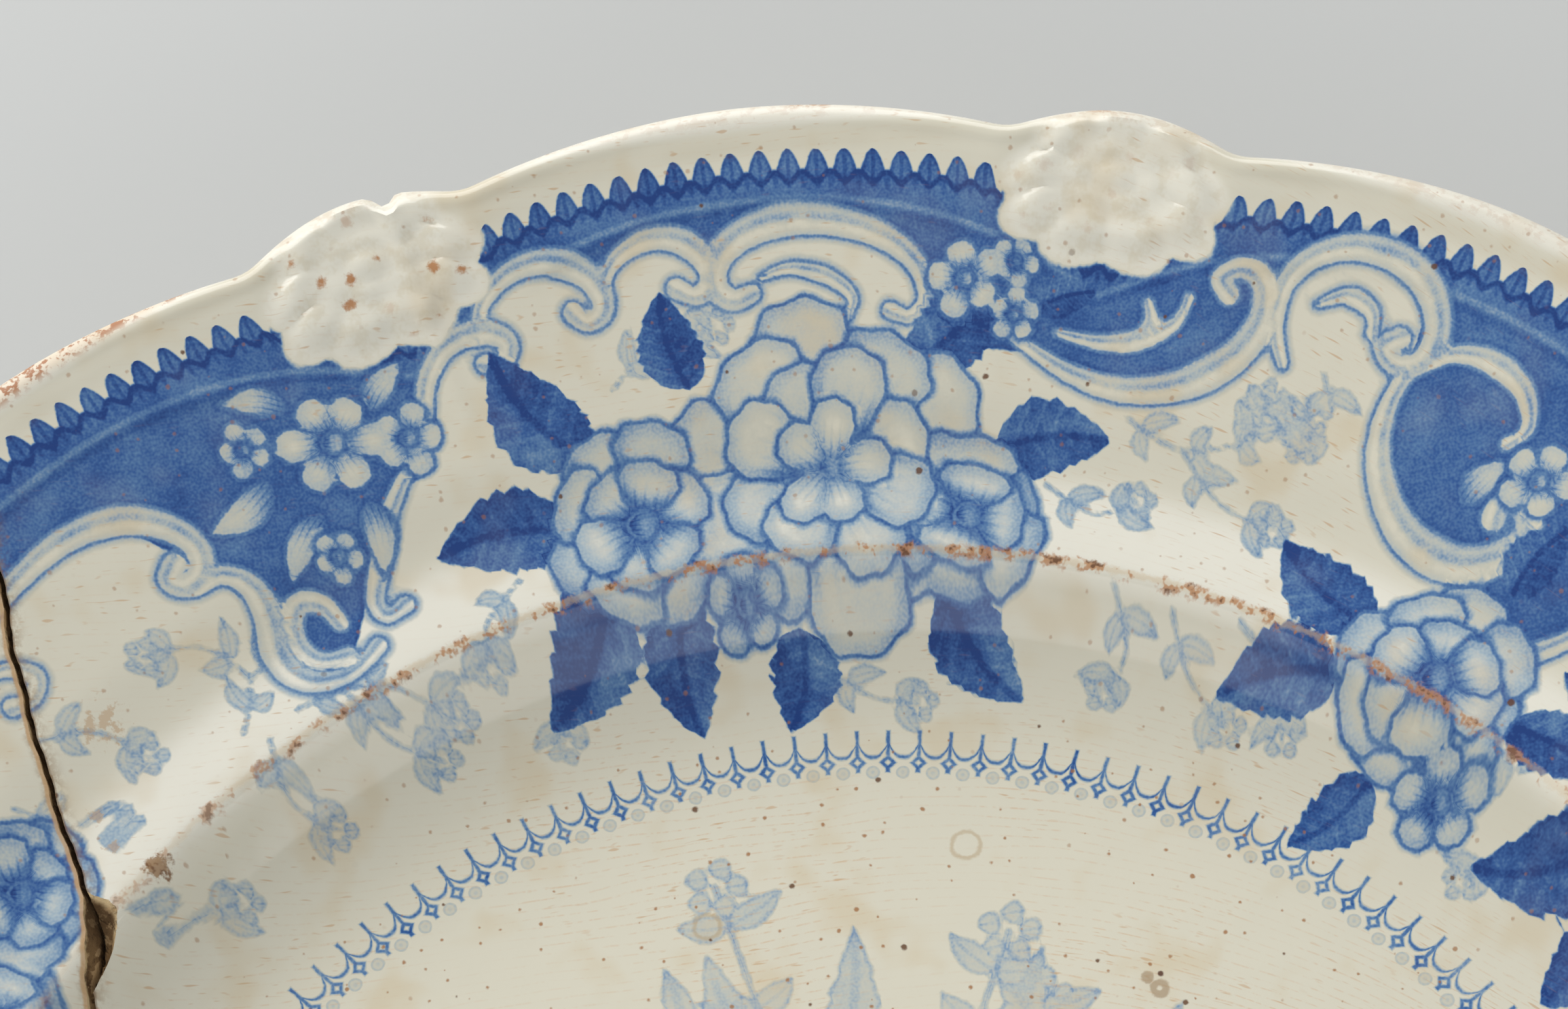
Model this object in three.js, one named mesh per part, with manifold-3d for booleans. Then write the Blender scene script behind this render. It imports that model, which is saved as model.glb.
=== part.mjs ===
// Broken dinner plate: one moulded earthenware plate, cracked right across into a main piece and a side
// piece, with a splinter lost where the crack crosses the shoulder.
// Millimetres, +Z up. The origin is the centre of the foot ring's resting plane.
import * as THREE from "three";
import { ConvexGeometry } from "three/addons/geometries/ConvexGeometry.js";
import { mergeVertices } from "three/addons/utils/BufferGeometryUtils.js";
import Module from "manifold-3d";

const wasm = await Module();
wasm.setup();

// Driving dimensions of the section
const PLATE_RADIUS = 127.9; // axis to the crown of an edge lobe
const SHOULDER_RADIUS = 85.1; // ridge between the well's wall and the rim
const FLOOR_RADIUS = 69.5; // flat floor of the well
const WELL_DEPTH = 10.2; // floor to shoulder
const RIM_RISE = 12.6; // shoulder to the bead's crown
const RIM_HOLLOW = 1.15; // exponent of the rim's rise: 1 is a straight cone
const FLOOR_THICKNESS = 5.0;
const RIM_THICKNESS = 3.8;
const WALL_THICKNESS = 4.2;
const BEAD_WIDTH = 3.4; // rounded bead along the edge
const BEAD_HEIGHT = 0.7; // bead's crown above the rim beside it
const EDGE_THICKNESS = 3.6; // bead's crown to the rim's underside at the edge
const FOOT_RADIUS = 71.0; // middle of the foot ring's tread
const FOOT_WIDTH = 2.4;
const FOOT_HEIGHT = 2.6;
const FOOT_DRAFT = 0.7; // lean of each side of the foot ring

// Driving dimensions of the lobed edge and its moulded flower heads
const LOBE_DEPTH = 3.0; // how far the edge dips beside a flower head
const LOBE_SHAPE = 1.8; // exponent of a lobe's curve
const FLOWER_AZIMUTHS = [1.2, 37.5, 70.5, 104.9, 139.0, 177.6, 214.0, 250.0, 287.0, 324.0];
const FLOWER_HALF_ANGLE = 5.0; // degrees, flower head's centre to the dips beside it
const FLOWER_INSET = 7.0; // a flower head's centre, inside the plate's radius
const FLOWER_LENGTH = 6.9; // half its radial length
const FLOWER_HALF_WIDTH = 10.2; // half its width along the edge
const FLOWER_RELIEF = 1.1; // petals above the rim
const FLOWER_ROOT = 1.8; // how deep a head is rooted in the rim
const PETALS = 8;
const PETAL_CUT = 0.13; // share of the head's size cut in between petals

// Driving dimensions of the break
const CRACK_GAP = 0.5; // open width of the crack
const CRACK_SPAN = 280.0; // the crack's line from end to end, past both edges
const CRACK_LINE = [
  [-0.2729, 0.5000],
  [-0.2521, 0.3786],
  [-0.2421, 0.3207],
  [-0.2364, 0.2657],
  [-0.2257, 0.2175],
  [-0.2286, 0.1821],
  [-0.2329, 0.1536],
  [-0.2286, 0.1143],
  [-0.2236, 0.0607],
  [-0.2271, 0.0036],
  [-0.2207, -0.0536],
  [-0.2257, -0.1107],
  [-0.2350, -0.1679],
  [-0.2371, -0.2179],
  [-0.2486, -0.2786],
  [-0.2529, -0.3286],
  [-0.2657, -0.3786],
  [-0.2961, -0.5000],
].map(([x, y]) => [x * CRACK_SPAN, y * CRACK_SPAN]);
const CHIP_WIDTH = 3.3; // lost splinter, from the crack into the main piece
const CHIP_RUN_OUT = 3.6; // its length from the shoulder towards the edge
const CHIP_RUN_IN = 6.5; // its length from the shoulder down the wall
const CHIP_DEPTH = 2.8;

// How finely the round shapes are divided
const FLOWER_COLUMNS = 8;
const LOBE_COLUMNS = 8;
const HEAD_COLUMNS = PETALS * 3;
const WALL_STEPS = 4;
const RIM_STEPS = 4;

const floorTop = FOOT_HEIGHT + FLOOR_THICKNESS;
const shoulderTop = floorTop + WELL_DEPTH;
const edgeTop = shoulderTop + RIM_RISE;
const beadFoot = PLATE_RADIUS - BEAD_WIDTH;

// Height of the rim's upper face at a radius between the shoulder and the bead.
function rimHeight(radius) {
  const share = Math.max(0, (radius - SHOULDER_RADIUS) / (beadFoot - SHOULDER_RADIUS));
  return shoulderTop + (RIM_RISE - BEAD_HEIGHT) * share ** RIM_HOLLOW;
}

// The wall's upper face, from the floor up to the shoulder.
function wallCurve() {
  const run = SHOULDER_RADIUS - FLOOR_RADIUS;
  return new THREE.CubicBezierCurve(
    new THREE.Vector2(FLOOR_RADIUS, floorTop),
    new THREE.Vector2(FLOOR_RADIUS + 0.45 * run, floorTop),
    new THREE.Vector2(FLOOR_RADIUS + 0.72 * run, floorTop + 0.35 * WELL_DEPTH),
    new THREE.Vector2(SHOULDER_RADIUS - 0.06 * run, shoulderTop - 0.06 * WELL_DEPTH),
  );
}

// The plate's section as [radius, height], from the middle of the underside round the edge to the
// middle of the floor.
function plateSection() {
  const tread = FOOT_WIDTH / 2;
  const points = [
    [0, FOOT_HEIGHT],
    [FOOT_RADIUS - tread - FOOT_DRAFT, FOOT_HEIGHT],
    [FOOT_RADIUS - tread, 0],
    [FOOT_RADIUS + tread, 0],
    [FOOT_RADIUS + tread + FOOT_DRAFT, FOOT_HEIGHT],
    [SHOULDER_RADIUS + 0.7 * WALL_THICKNESS, shoulderTop - 0.8 * RIM_THICKNESS],
  ];
  const underRun = beadFoot - SHOULDER_RADIUS;
  for (const share of [0.4, 0.75]) {
    const radius = SHOULDER_RADIUS + share * underRun;
    points.push([radius, rimHeight(radius) - RIM_THICKNESS]);
  }
  points.push(
    [PLATE_RADIUS - 0.45 * BEAD_WIDTH, edgeTop - EDGE_THICKNESS],
    [PLATE_RADIUS - 0.12 * BEAD_WIDTH, edgeTop - 0.8 * EDGE_THICKNESS],
    [PLATE_RADIUS, edgeTop - 0.5 * EDGE_THICKNESS],
    [PLATE_RADIUS - 0.15 * BEAD_WIDTH, edgeTop - 0.16 * EDGE_THICKNESS],
    [PLATE_RADIUS - 0.5 * BEAD_WIDTH, edgeTop],
    [beadFoot, edgeTop - BEAD_HEIGHT],
  );
  for (let step = RIM_STEPS - 1; step > 0; step--) {
    const radius = SHOULDER_RADIUS + (underRun * step) / RIM_STEPS;
    points.push([radius, rimHeight(radius)]);
  }
  points.push([SHOULDER_RADIUS, shoulderTop]);
  const wall = wallCurve().getPoints(WALL_STEPS).reverse();
  points.push(...wall.map((point) => [point.x, point.y]), [0, floorTop]);
  return points.map(([radius, height]) => new THREE.Vector2(radius, height));
}

// Azimuths in degrees of the plate's vertex columns: finer over each flower head, wider over each lobe.
function columnAzimuths() {
  const azimuths = [];
  FLOWER_AZIMUTHS.forEach((centre, index) => {
    const next = FLOWER_AZIMUTHS[index + 1] ?? FLOWER_AZIMUTHS[0] + 360;
    const lobeStart = centre + FLOWER_HALF_ANGLE;
    const lobeRun = next - FLOWER_HALF_ANGLE - lobeStart;
    for (let step = 0; step < FLOWER_COLUMNS; step++)
      azimuths.push(centre + FLOWER_HALF_ANGLE * ((2 * step) / FLOWER_COLUMNS - 1));
    for (let step = 0; step < LOBE_COLUMNS; step++)
      azimuths.push(lobeStart + (lobeRun * step) / LOBE_COLUMNS);
  });
  return azimuths;
}

// How far the edge lies inside the plate's radius at an azimuth: lobes between the flower heads, and a
// smaller swelling at each head.
function edgeDip(azimuth) {
  const turns = [...FLOWER_AZIMUTHS, FLOWER_AZIMUTHS[0] + 360, FLOWER_AZIMUTHS.at(-1) - 360];
  const offset = turns.reduce((near, centre) =>
    Math.abs(azimuth - centre) < Math.abs(azimuth - near) ? centre : near,
  );
  const fromHead = azimuth - offset;
  if (Math.abs(fromHead) <= FLOWER_HALF_ANGLE)
    return LOBE_DEPTH * (1 - Math.cos((fromHead / FLOWER_HALF_ANGLE) * (Math.PI / 2)));
  const side = turns
    .filter((centre) => (centre - azimuth) * fromHead > 0)
    .reduce((near, centre) =>
      Math.abs(azimuth - centre) < Math.abs(azimuth - near) ? centre : near,
    );
  const crown = (offset + side) / 2;
  const halfLobe = Math.abs(side - offset) / 2 - FLOWER_HALF_ANGLE;
  return LOBE_DEPTH * Math.abs((azimuth - crown) / halfLobe) ** LOBE_SHAPE;
}

// The whole plate, turned as a lathe shape, with its rim drawn in to the lobed edge.
function plateGeometry() {
  const section = plateSection();
  const azimuths = columnAzimuths();
  const geometry = new THREE.LatheGeometry(section, azimuths.length);
  geometry.rotateX(Math.PI / 2);
  const position = geometry.getAttribute("position");
  for (let index = 0; index < position.count; index++) {
    const column = Math.floor(index / section.length) % azimuths.length;
    const radius = section[index % section.length].x;
    const share = Math.max(0, (radius - SHOULDER_RADIUS) / (PLATE_RADIUS - SHOULDER_RADIUS));
    const reach = radius - edgeDip(azimuths[column]) * share ** 2;
    const angle = THREE.MathUtils.degToRad(azimuths[column]);
    position.setXY(index, reach * Math.cos(angle), reach * Math.sin(angle));
  }
  return geometry;
}

// One flower head at the edge: a shallow oval dome with scalloped petals and a hollow middle, lying on
// the rim's slope.
function flowerHeadGeometry(azimuth) {
  const section = [
    [0, -FLOWER_ROOT],
    [0.92, -FLOWER_ROOT],
    [1, 0],
    [0.78, FLOWER_RELIEF],
    [0.4, 0.85 * FLOWER_RELIEF],
    [0.18, 0.5 * FLOWER_RELIEF],
    [0, 0.75 * FLOWER_RELIEF],
  ].map(([radius, height]) => new THREE.Vector2(radius, height));
  const geometry = new THREE.LatheGeometry(section, HEAD_COLUMNS);
  geometry.rotateX(Math.PI / 2);
  const position = geometry.getAttribute("position");
  for (let index = 0; index < position.count; index++) {
    const x = position.getX(index);
    const y = position.getY(index);
    const spread = Math.min(1, Math.hypot(x, y) / 0.78);
    const petal = 1 - spread * PETAL_CUT * (1 - Math.cos(PETALS * Math.atan2(y, x)));
    position.setX(index, x * petal * FLOWER_LENGTH);
    position.setY(index, y * petal * FLOWER_HALF_WIDTH);
  }
  const radius = PLATE_RADIUS - FLOWER_INSET;
  const slope = Math.atan2(rimHeight(radius + 1) - rimHeight(radius - 1), 2);
  geometry.rotateY(-slope);
  geometry.translate(radius, 0, rimHeight(radius));
  geometry.rotateZ(THREE.MathUtils.degToRad(azimuth));
  return geometry;
}

// Everything beyond the crack, as one upright prism with the crack's line as its inner side. It stands past
// the plate by the depth of the well.
function beyondCrackGeometry() {
  const reach = PLATE_RADIUS + WELL_DEPTH;
  const first = CRACK_LINE[0];
  const last = CRACK_LINE.at(-1);
  const outline = new THREE.Shape();
  outline.moveTo(-reach, Math.max(reach, first[1]));
  for (const [x, y] of CRACK_LINE) outline.lineTo(x, y);
  outline.lineTo(-reach, Math.min(-reach, last[1]));
  outline.closePath();
  const height = edgeTop + 2 * WELL_DEPTH;
  const geometry = new THREE.ExtrudeGeometry(outline, { depth: height, bevelEnabled: false });
  geometry.translate(0, 0, -WELL_DEPTH);
  return geometry;
}

// The point where the crack, seen from above, crosses the shoulder on the far side.
function crackAtShoulder() {
  const index = CRACK_LINE.findIndex(([x, y]) => Math.hypot(x, y) < SHOULDER_RADIUS);
  const [outer, inner] = [CRACK_LINE[index - 1], CRACK_LINE[index]];
  const [outerRadius, innerRadius] = [Math.hypot(...outer), Math.hypot(...inner)];
  const share = (outerRadius - SHOULDER_RADIUS) / (outerRadius - innerRadius);
  return new THREE.Vector3(
    outer[0] + share * (inner[0] - outer[0]),
    outer[1] + share * (inner[1] - outer[1]),
    shoulderTop,
  );
}

// The lost splinter: a wedge against the crack, deepest beside it, that thins down the wall.
function chipGeometry() {
  const above = 1.5 * CHIP_DEPTH;
  const corner = (across, along, up) =>
    new THREE.Vector3(across * CHIP_WIDTH, along, up).add(crackAtShoulder());
  return new ConvexGeometry([
    corner(-0.3, CHIP_RUN_OUT, above),
    corner(0.75, 0.9 * CHIP_RUN_OUT, above),
    corner(1, 0.45 * CHIP_RUN_OUT, above),
    corner(0.95, -0.1 * CHIP_RUN_IN, above),
    corner(0.5, -0.55 * CHIP_RUN_IN, above),
    corner(0.1, -CHIP_RUN_IN, above),
    corner(-0.4, -CHIP_RUN_IN, above),
    corner(-0.3, 0.7 * CHIP_RUN_OUT, -CHIP_DEPTH),
    corner(0.45, 0.3 * CHIP_RUN_OUT, -0.75 * CHIP_DEPTH),
    corner(0.3, -0.4 * CHIP_RUN_IN, -1.35 * CHIP_DEPTH),
    corner(-0.4, -0.85 * CHIP_RUN_IN, -1.6 * CHIP_DEPTH),
  ]);
}

// A closed geometry as a solid that can be cut and joined.
function solidOf(geometry) {
  geometry.deleteAttribute("normal");
  geometry.deleteAttribute("uv");
  const merged = mergeVertices(geometry, 1e-4);
  const corners = merged.index.array;
  const triangles = [];
  for (let index = 0; index < corners.length; index += 3) {
    const [a, b, c] = [corners[index], corners[index + 1], corners[index + 2]];
    if (a !== b && b !== c && c !== a) triangles.push(a, b, c);
  }
  return new wasm.Manifold(
    new wasm.Mesh({
      numProp: 3,
      vertProperties: merged.getAttribute("position").array,
      triVerts: new Uint32Array(triangles),
    }),
  );
}

// A solid as a named mesh of glazed earthenware.
function potteryMesh(name, solid) {
  const { vertProperties, triVerts } = solid.getMesh();
  const geometry = new THREE.BufferGeometry();
  geometry.setAttribute("position", new THREE.BufferAttribute(vertProperties, 3));
  geometry.setIndex(new THREE.BufferAttribute(triVerts, 1));
  geometry.computeVertexNormals();
  const glaze = new THREE.MeshStandardMaterial({ color: 0xdfdccd, roughness: 0.22, metalness: 0 });
  const mesh = new THREE.Mesh(geometry, glaze);
  mesh.name = name;
  return mesh;
}

let plate = solidOf(plateGeometry());
for (const azimuth of FLOWER_AZIMUTHS) plate = plate.add(solidOf(flowerHeadGeometry(azimuth)));
const beyondCrack = solidOf(beyondCrackGeometry());
const sidePiece = plate.intersect(beyondCrack.translate([-CRACK_GAP / 2, 0, 0]));
const mainPiece = plate
  .subtract(beyondCrack.translate([CRACK_GAP / 2, 0, 0]))
  .subtract(solidOf(chipGeometry()));

const brokenPlate = new THREE.Group();
brokenPlate.add(potteryMesh("main_piece", mainPiece), potteryMesh("side_piece", sidePiece));
export default brokenPlate;
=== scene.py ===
"""Broken plate in pieces: a moulded, blue-printed earthenware dinner plate, cracked across.

Metres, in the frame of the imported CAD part. The plate's own sizes below are in millimetres.
"""

import math

import bmesh
import bpy
import numpy as np
from mathutils import Matrix, Vector


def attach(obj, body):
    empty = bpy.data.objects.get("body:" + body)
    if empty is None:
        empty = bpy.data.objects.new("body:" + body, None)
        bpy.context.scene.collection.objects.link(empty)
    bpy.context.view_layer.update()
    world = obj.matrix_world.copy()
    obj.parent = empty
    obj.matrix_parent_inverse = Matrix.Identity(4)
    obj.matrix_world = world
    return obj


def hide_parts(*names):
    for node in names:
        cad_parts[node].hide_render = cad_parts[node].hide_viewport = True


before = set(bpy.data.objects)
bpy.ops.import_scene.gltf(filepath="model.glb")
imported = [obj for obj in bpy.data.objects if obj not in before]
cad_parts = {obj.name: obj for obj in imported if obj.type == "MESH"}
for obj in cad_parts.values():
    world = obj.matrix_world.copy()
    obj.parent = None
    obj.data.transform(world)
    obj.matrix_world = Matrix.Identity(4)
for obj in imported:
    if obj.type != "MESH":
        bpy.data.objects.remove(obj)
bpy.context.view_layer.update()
scene = bpy.context.scene
MM = 0.001
rng = np.random.default_rng(41)

# ---- the plate's sizes, as in the CAD part ----
PLATE_R, SHOULDER_R, FLOOR_R = 127.9, 85.1, 69.5
UNDER_Z, FLOOR_Z, SHOULDER_Z, EDGE_Z = 2.6, 7.6, 17.8, 30.4
BEAD_R, BEAD_FOOT_R, RIM_THICKNESS = 1.75, 124.5, 3.8
CROWN_R = PLATE_R - BEAD_R
LOBE_DEPTH, HEAD_HALF_ANGLE, HEAD_R = 3.0, 5.0, 120.9
HEADS = (1.2, 37.5, 70.5, 104.9, 139.0, 177.6, 214.0, 250.0, 287.0, 324.0)
# the same azimuths, going on past both ends of the circle
ROUND_HEADS = np.array([HEADS[-2] - 360, HEADS[-1] - 360, *HEADS, HEADS[0] + 360, HEADS[1] + 360])
HIGHEST_Z, RIM_DIP, RIM_DIP_WIDTH = 31.2, 0.8, 16
EDGE_CHIP_AZ, EDGE_CHIP_DEPTH = 103.2, 1.5
SHARP_ANGLE = math.radians(38)
GAP, CRACK_BOW = 0.5, 0.9
FAR_X = 0.19  # metres, beyond the plate
CRACK_AT_SHOULDER = (-63.36, 56.96, SHOULDER_Z)
CRACK = [
    (-76.4, 140.0), (-70.6, 106.0), (-68.9, 97.5), (-67.9, 89.8), (-67.5, 83.3), (-66.8, 79.0),
    (-66.1, 74.4), (-65.3, 70.2), (-64.5, 66.2), (-63.8, 63.6), (-63.1, 60.9), (-63.4, 56.6),
    (-64.0, 51.1), (-65.2, 43.0), (-64.0, 32.0), (-62.6, 17.0), (-63.6, 1.0), (-61.8, -15.0),
    (-63.2, -31.0), (-65.8, -47.0), (-66.4, -61.0), (-69.6, -78.0), (-70.8, -92.0),
    (-74.4, -106.0), (-82.9, -140.0),
]


# ---- the plate's shape ----
def smooth(x, low, high):
    t = np.clip((x - low) / (high - low), 0, 1)
    return t * t * (3 - 2 * t)


def rim_height(r):
    share = np.clip((r - SHOULDER_R) / (BEAD_FOOT_R - SHOULDER_R), 0, 1.2)
    return SHOULDER_Z + 11.9 * share**1.15


def cubic(t, a, b, c, d):
    return a * (1 - t) ** 3 + 3 * b * t * (1 - t) ** 2 + 3 * c * t * t * (1 - t) + d * t**3


def top_table():
    """Height of the upper face against radius, with the shoulder's ridge softened."""
    r = np.arange(0, 127.95, 0.1)
    run = SHOULDER_R - FLOOR_R
    t = np.linspace(0, 1, 300)
    wall_r = cubic(t, FLOOR_R, FLOOR_R + 0.45 * run, FLOOR_R + 0.72 * run, SHOULDER_R - 0.06 * run)
    wall_z = cubic(t, FLOOR_Z, FLOOR_Z, FLOOR_Z + 3.57, SHOULDER_Z - 0.61)
    z = np.where(r > SHOULDER_R, rim_height(r), FLOOR_Z)
    wall = (r > FLOOR_R) & (r <= SHOULDER_R)
    z[wall] = np.interp(r[wall], np.append(wall_r, SHOULDER_R), np.append(wall_z, SHOULDER_Z))
    soft = np.convolve(z, np.ones(13) / 13, "same")
    z = np.where(np.abs(r - SHOULDER_R) < 3, soft, z)
    for _ in range(3):
        wide = np.convolve(np.pad(z, 30, "edge"), np.ones(61) / 61, "valid")
        blend = smooth(r, 58, 63) * smooth(r, 80, 76)
        z = z * (1 - blend) + wide * blend
    z += 0.1 * np.exp(-(((r - 123.9) / 1.2) ** 2))
    across = np.clip((r - CROWN_R) / BEAD_R, -1, 1)
    bead = EDGE_Z - 1.8 + 1.8 * np.sqrt(1 - across**2)
    z = np.where(r > CROWN_R - 1.7, np.maximum(z, bead), z)
    soft = np.convolve(z, np.ones(11) / 11, "same")
    z = np.where((r > 121) & (r < 125.2), soft, z)
    # just outside the shoulder the rim starts almost level
    z -= RIM_DIP * np.sin(math.pi * np.clip((r - SHOULDER_R) / RIM_DIP_WIDTH, 0, 1)) ** 2
    return r, np.where(r > CROWN_R, bead, z)


TOP = top_table()


def top_height(rho):
    return np.interp(rho, *TOP)


def edge_dip_table():
    """How far the edge lies inside the plate's radius, against azimuth in degrees."""
    az = np.arange(-20, 380, 0.1)
    k = np.searchsorted(ROUND_HEADS, az, side="right") - 1
    low, high = ROUND_HEADS[k], ROUND_HEADS[k + 1]
    near = np.minimum(az - low, high - az)
    at_head = LOBE_DEPTH * (1 - np.cos(np.minimum(near / HEAD_HALF_ANGLE, 1) * math.pi / 2))
    half = (high - low) / 2 - HEAD_HALF_ANGLE
    lobe = LOBE_DEPTH * np.clip(np.abs(az - (low + high) / 2) / half, 0, 1) ** 1.8
    dip = np.where(near <= HEAD_HALF_ANGLE, at_head, lobe)
    dip = np.convolve(dip, np.ones(13) / 13, "same")
    dip += EDGE_CHIP_DEPTH * np.exp(-(((az - EDGE_CHIP_AZ) / 0.42) ** 2))
    return az, dip


DIP = edge_dip_table()


def edge_share(rho):
    return np.clip((rho - SHOULDER_R) / (PLATE_R - SHOULDER_R), 0, 1) ** 2


def edge_dip(az):
    return np.interp(np.mod(az, 360), *DIP)


def unlobed_radius(r, az):
    """The radius a point would have if the edge had no lobes."""
    dip = edge_dip(az)
    rho = r + 0.0
    for _ in range(4):
        rho = r + dip * edge_share(rho)
    return rho


def from_head(az):
    """Signed azimuth from the nearest flower head, and that head's number."""
    gaps = (np.asarray(az)[..., None] - np.array(HEADS) + 180) % 360 - 180
    index = np.abs(gaps).argmin(-1)
    return np.take_along_axis(gaps, index[..., None], -1)[..., 0], index


def head_relief(rho, az):
    """Height of the moulded flower heads above the rim, soft under the thick glaze."""
    gap, index = from_head(az)
    a = (rho - HEAD_R + 0.3) / 7.4
    b = np.radians(gap) * rho / 10.6
    d = np.hypot(a, b)
    turn = np.arctan2(b, a) + index * 0.7
    lobes = np.abs(np.cos(turn * 4.5))
    rim_d = 0.88 + 0.12 * lobes**0.7
    outer = smooth(d / rim_d, 1.02, 0.72) * (0.7 + 0.3 * smooth(d, 0.35, 0.75))
    crease = (1 - lobes) ** 3 * smooth(d, 0.3, 0.55) * smooth(d / rim_d, 1.02, 0.85)
    inner_lobes = np.abs(np.cos(turn * 3 + 0.9))
    inner_d = 0.42 + 0.08 * inner_lobes
    inner = smooth(d / inner_d, 1.05, 0.6) * 0.3
    inner_crease = (1 - inner_lobes) ** 3 * smooth(d, 0.12, 0.28) * smooth(d / inner_d, 1, 0.8)
    button = 0.2 * smooth(d, 0.2, 0.06) - 0.2 * np.exp(-(((d - 0.21) / 0.07) ** 2))
    lumps = np.sin(a * 9 + index) * np.sin(b * 8 + 2 * index)
    lumps = lumps + 0.6 * np.sin(a * 17 + b * 5) * np.sin(b * 15 - a * 4)
    lumps = 0.06 * lumps * smooth(d / rim_d, 1, 0.7)
    return 0.88 * (0.92 * outer - 0.34 * crease + inner - 0.16 * inner_crease + button + lumps)


WAVES = [(rng.uniform(0.02, 0.2), rng.uniform(0, 6.3), rng.uniform(0, 6.3)) for _ in range(12)]


def unevenness(x, y):
    """The slight waviness of a thrown and moulded surface."""
    total = np.zeros_like(x)
    for pitch, turn, start in WAVES:
        total += np.sin((x * math.cos(turn) + y * math.sin(turn)) * pitch + start) * 0.004 / pitch**0.8
    return total


def section():
    """The plate's section as (radius, height) from the floor's middle over the edge to the foot."""
    top = [*np.linspace(0, 40, 22), *np.linspace(40, 68, 46)[1:], *np.linspace(68, 88, 42)[1:]]
    top += [*np.linspace(88, 125.0, 72)[1:]]
    rows = [(r, float(top_height(r))) for r in top]
    for turn in np.radians([118, 98, 78, 58, 38, 18, -2, -24, -48, -74]):
        rows.append((CROWN_R + BEAD_R * math.cos(turn), EDGE_Z - 1.8 + 1.8 * math.sin(turn)))
    for r in np.linspace(124, 90, 9):
        rows.append((r, float(rim_height(r)) - RIM_THICKNESS))
    rows += [(88.0, 14.76), (84.2, 11.7), (80.4, 8.65), (76.6, 5.6), (74.2, 3.66), (73.1, 2.7)]
    rows += [(72.6, 1.3), (72.25, 0.25), (71.9, 0), (70.1, 0), (69.75, 0.25), (69.3, 1.6), (68.9, 2.5)]
    rows += [(68.2, UNDER_Z), (62, UNDER_Z), (50, UNDER_Z), (36, UNDER_Z), (20, UNDER_Z), (0, UNDER_Z)]
    return rows


SECTION = section()
TOP_ROWS = 22 + 45 + 41 + 71 + 5


def mesh_of(bm, name, *materials):
    """A mesh made from a bmesh, which is then freed."""
    mesh = bpy.data.meshes.new(name)
    bm.to_mesh(mesh)
    bm.free()
    for material in materials:
        mesh.materials.append(material)
    return mesh


def shown(name, data):
    """A new object in the scene."""
    made = bpy.data.objects.new(name, data)
    scene.collection.objects.link(made)
    return made


def places_of(mesh):
    """The places of a mesh's vertices in millimetres, a row each."""
    co = np.empty(len(mesh.vertices) * 3)
    mesh.vertices.foreach_get("co", co)
    return co.reshape(-1, 3) / MM


def column_azimuths(*zones):
    """Azimuths of a plate's columns of vertices from (start, end, step) zones, in degrees."""
    columns = np.concatenate([np.arange(a, b - step * 0.5, step) for a, b, step in zones])
    return np.sort(columns % 360)


def spun_plate(name, columns):
    """The whole plate, spun from its section; the columns are then moved to where detail is."""
    bm = bmesh.new()
    row_layer = bm.verts.layers.float.new("row")
    verts = [bm.verts.new((r * MM, 0, z * MM)) for r, z in SECTION]
    for index, v in enumerate(verts):
        v[row_layer] = index
    edges = [bm.edges.new(pair) for pair in zip(verts, verts[1:])]
    bmesh.ops.spin(
        bm, geom=verts + edges, cent=(0, 0, 0), axis=(0, 0, 1), dvec=(0, 0, 0), angle=2 * math.pi,
        steps=len(columns), use_merge=True, use_duplicate=False,
    )
    poles = [v for v in bm.verts if math.hypot(v.co.x, v.co.y) < 1e-7]
    bmesh.ops.remove_doubles(bm, verts=poles, dist=1e-6)
    bmesh.ops.recalc_face_normals(bm, faces=bm.faces)
    mesh = mesh_of(bm, name, glaze, body)
    co = places_of(mesh)
    row = np.empty(len(mesh.vertices))
    mesh.attributes["row"].data.foreach_get("value", row)
    mesh.attributes.remove(mesh.attributes["row"])
    on_top = row < TOP_ROWS
    rho = np.hypot(co[:, 0], co[:, 1])
    turn = np.degrees(np.arctan2(co[:, 1], co[:, 0]))
    az = columns[np.rint(turn / 360 * len(columns)).astype(int) % len(columns)]
    z = co[:, 2]
    gap, _ = from_head(az)
    beside = smooth(np.abs(gap), 6.4, 4.6)
    filled = np.maximum(rim_height(np.minimum(rho, 126.2)) - 0.15 - z, 0) * (rho > 118) * (rho < 126.3)
    z = z + np.where(on_top, filled * beside, 0)
    relief = head_relief(rho, az) * smooth(rho, 127.3, 125.6)
    z = z + np.where(on_top & (rho > 105), relief, 0)
    step = rho - step_radius(az)
    ledge = 0.2 * (smooth(step, -0.6, 0.4) - smooth(step, 0.3, 6)) * smooth(np.abs(gap), 5.5, 8.5)
    z = z + np.where(on_top & (rho > 95), ledge, 0)
    reach = rho - (edge_dip(az) + 0.05) * edge_share(rho)
    x, y = reach * np.cos(np.radians(az)), reach * np.sin(np.radians(az))
    z = np.where(on_top & (rho < 127), z + unevenness(x, y), z)
    z = np.clip(z, 0, HIGHEST_Z)
    mesh.vertices.foreach_set("co", (np.stack([x, y, z], 1) * MM).ravel())
    mesh.update()
    return shown(name, mesh)


def lobe_place(az):
    """Place across a lobe: -1 and 1 at the flower heads beside it, 0 at its crown."""
    az = np.mod(az, 360)
    k = np.searchsorted(ROUND_HEADS, az, side="right") - 1
    low, high = ROUND_HEADS[k], ROUND_HEADS[k + 1]
    return 2 * (az - low) / (high - low) - 1


def step_radius(az):
    """Radius of the fine moulded step inside the printed border."""
    return 117.8 - 8.4 * np.abs(lobe_place(az)) ** 2.2


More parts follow.
